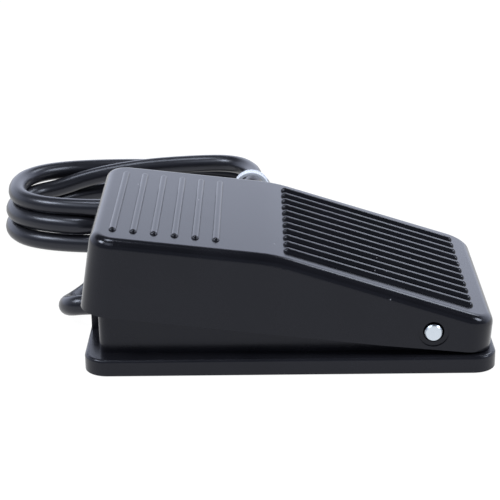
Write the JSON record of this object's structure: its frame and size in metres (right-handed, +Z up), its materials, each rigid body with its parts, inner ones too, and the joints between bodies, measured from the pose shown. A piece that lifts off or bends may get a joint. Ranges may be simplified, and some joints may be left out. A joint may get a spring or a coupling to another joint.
{
  "type": "foot switch",
  "caption": "Low wedge-shaped foot pedal switch: ribbed black pedal hinged on a steel pin over a flanged base, with a black cord coiled and tied behind it.",
  "frame": {"origin": "middle of the underside, on the floor", "axes": "+X from the cord end to the hinge end, +Z up, +Y to the side where the cord is coiled"},
  "size_m": [0.138, 0.141, 0.0359],
  "materials": {
    "housing_black": "satin",
    "pedal_black": "satin, fine grain",
    "mat_rubber": "matte",
    "pin_steel": "zinc plated, bright",
    "spring_steel": "drawn wire",
    "stop_rubber": "matte",
    "case_plastic": "satin",
    "cover_plastic": "satin",
    "plunger_red": "smooth",
    "lever_steel": "rolled strip",
    "blade_brass": "tinned edges",
    "zinc_screw": "zinc plated",
    "clamp_plastic": "moulded",
    "cord_black": "satin gloss",
    "wire_brown": "smooth",
    "wire_blue": "smooth",
    "wire_green": "smooth, with a yellow stripe",
    "tie_nylon": "translucent white",
    "tinned_copper": "tinned strands"
  },
  "bodies": {
    "base": {"base": "housing_black", "rubber_mat": "mat_rubber", "hinge_pin": "pin_steel", "return_spring": "spring_steel", "stop_bumpers": "stop_rubber", "switch_case": "case_plastic", "switch_cover": "cover_plastic", "lever_pin": "lever_steel", "terminal_common": "blade_brass", "terminal_closed": "blade_brass", "terminal_open": "blade_brass", "switch_screws": "zinc_screw", "switch_nuts": "zinc_screw", "clamp_screws": "zinc_screw", "cord_clamp": "clamp_plastic", "cord_grommet": "stop_rubber", "cord_inner": "cord_black", "brown_wire": "wire_brown", "blue_wire": "wire_blue", "green_yellow_wire": "wire_green", "cord_lead": "cord_black", "cord_coil": "cord_black", "cord_tail": "cord_black", "cable_tie": "tie_nylon", "brown_core": "wire_brown", "blue_core": "wire_blue", "green_yellow_core": "wire_green", "tinned_tips": "tinned_copper"},
    "pedal": {"pedal": "pedal_black"},
    "switch_lever": {"switch_lever": "lever_steel"},
    "switch_plunger": {"switch_plunger": "plunger_red"}
  },
  "joints": [
    {"name": "pedal_press", "type": "hinge", "parent": "base", "child": "pedal", "pos_m": [0.0351, 0, 0.01045], "axis": [0, -1, 0], "range_deg": [0, 7], "stiffness_Nm_per_rad": 5, "springref_deg": -11.46, "deforming": ["return_spring"]},
    {"name": "lever_turn", "type": "hinge", "parent": "base", "child": "switch_lever", "pos_m": [-0.0175, -0.0006, 0.0199], "axis": [0, 1, 0], "range_deg": [0, 10.4]},
    {"name": "plunger_press", "type": "slide", "parent": "base", "child": "switch_plunger", "axis": [0, 0, -1], "range_m": [0, 0.00112]}
  ],
  "couplings": [
    {"joint": "lever_turn", "follows": "pedal_press", "ratio": 1.4337},
    {"joint": "plunger_press", "follows": "pedal_press", "m_per_rad": 0.00866}
  ]
}
